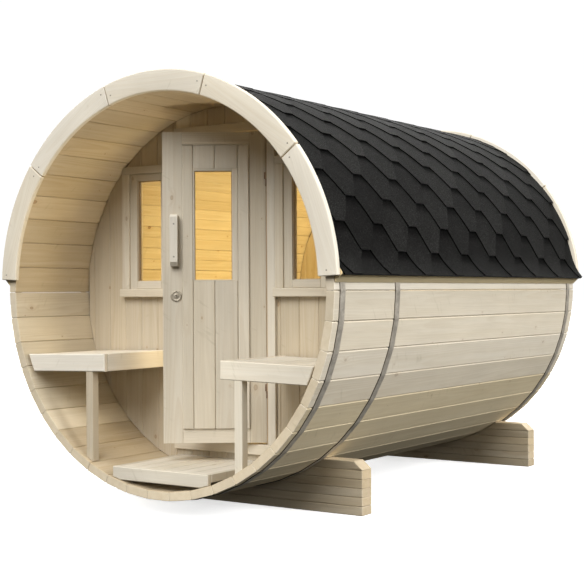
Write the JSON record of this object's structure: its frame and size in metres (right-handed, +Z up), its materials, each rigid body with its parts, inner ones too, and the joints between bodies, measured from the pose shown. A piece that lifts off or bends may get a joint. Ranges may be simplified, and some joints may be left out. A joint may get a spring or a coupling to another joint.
{
  "type": "barrel sauna",
  "caption": "Round timber cabin of flat staves held by steel bands, with a shingled roof, a recessed front wall with a hinged door and windows, an open porch with benches, on timber cradles.",
  "frame": {"origin": "on the ground, under the middle of the part's box", "axes": "+Z up, +Y to the rear along the barrel, the porch faces -Y, +X to the right seen from the porch"},
  "size_m": [2.17, 2.915, 2.2],
  "materials": {
    "spruce": "planed, unpainted",
    "planed_spruce": "planed, unpainted",
    "door_spruce": "planed, unpainted",
    "steel": "satin",
    "glass": "clear",
    "shingles": "granular, matt"
  },
  "bodies": {
    "cabin": {"floor_staves": "spruce", "left_lower_staves": "spruce", "left_upper_staves": "spruce", "roof_staves": "spruce", "right_upper_staves": "spruce", "right_lower_staves": "spruce", "front_wall_left": "spruce", "front_wall_right": "spruce", "front_wall_over_door": "spruce", "front_wall_below_door": "spruce", "rear_wall": "spruce", "cabin_floor": "spruce", "front_arch": "planed_spruce", "rear_arch": "planed_spruce", "left_eave_batten": "planed_spruce", "right_eave_batten": "planed_spruce", "door_jamb_left": "planed_spruce", "door_jamb_right": "planed_spruce", "door_head": "planed_spruce", "door_threshold": "planed_spruce", "left_window_casing": "planed_spruce", "left_window_sash": "planed_spruce", "right_window_casing": "planed_spruce", "right_window_sash": "planed_spruce", "left_bench_frame": "planed_spruce", "left_bench_slats": "planed_spruce", "left_bench_post": "planed_spruce", "right_bench_frame": "planed_spruce", "right_bench_slats": "planed_spruce", "right_bench_post": "planed_spruce", "porch_floor_frame": "planed_spruce", "porch_floor_slats": "planed_spruce", "front_cradle": "planed_spruce", "rear_cradle": "planed_spruce", "steel_bands": "steel", "frame_hinges": "steel", "left_window_glass": "glass", "right_window_glass": "glass", "shingle_roof": "shingles"},
    "door": {"door_hinges": "steel", "door_leaf": "door_spruce", "door_glass": "glass", "door_handle": "door_spruce", "door_lock": "steel"}
  },
  "joints": [
    {"name": "door_swing", "type": "hinge", "parent": "cabin", "child": "door", "pos_m": [0.272, -0.8835, 1.146], "axis": [0, 0, 1], "range_deg": [-34.5, 55.5]}
  ]
}
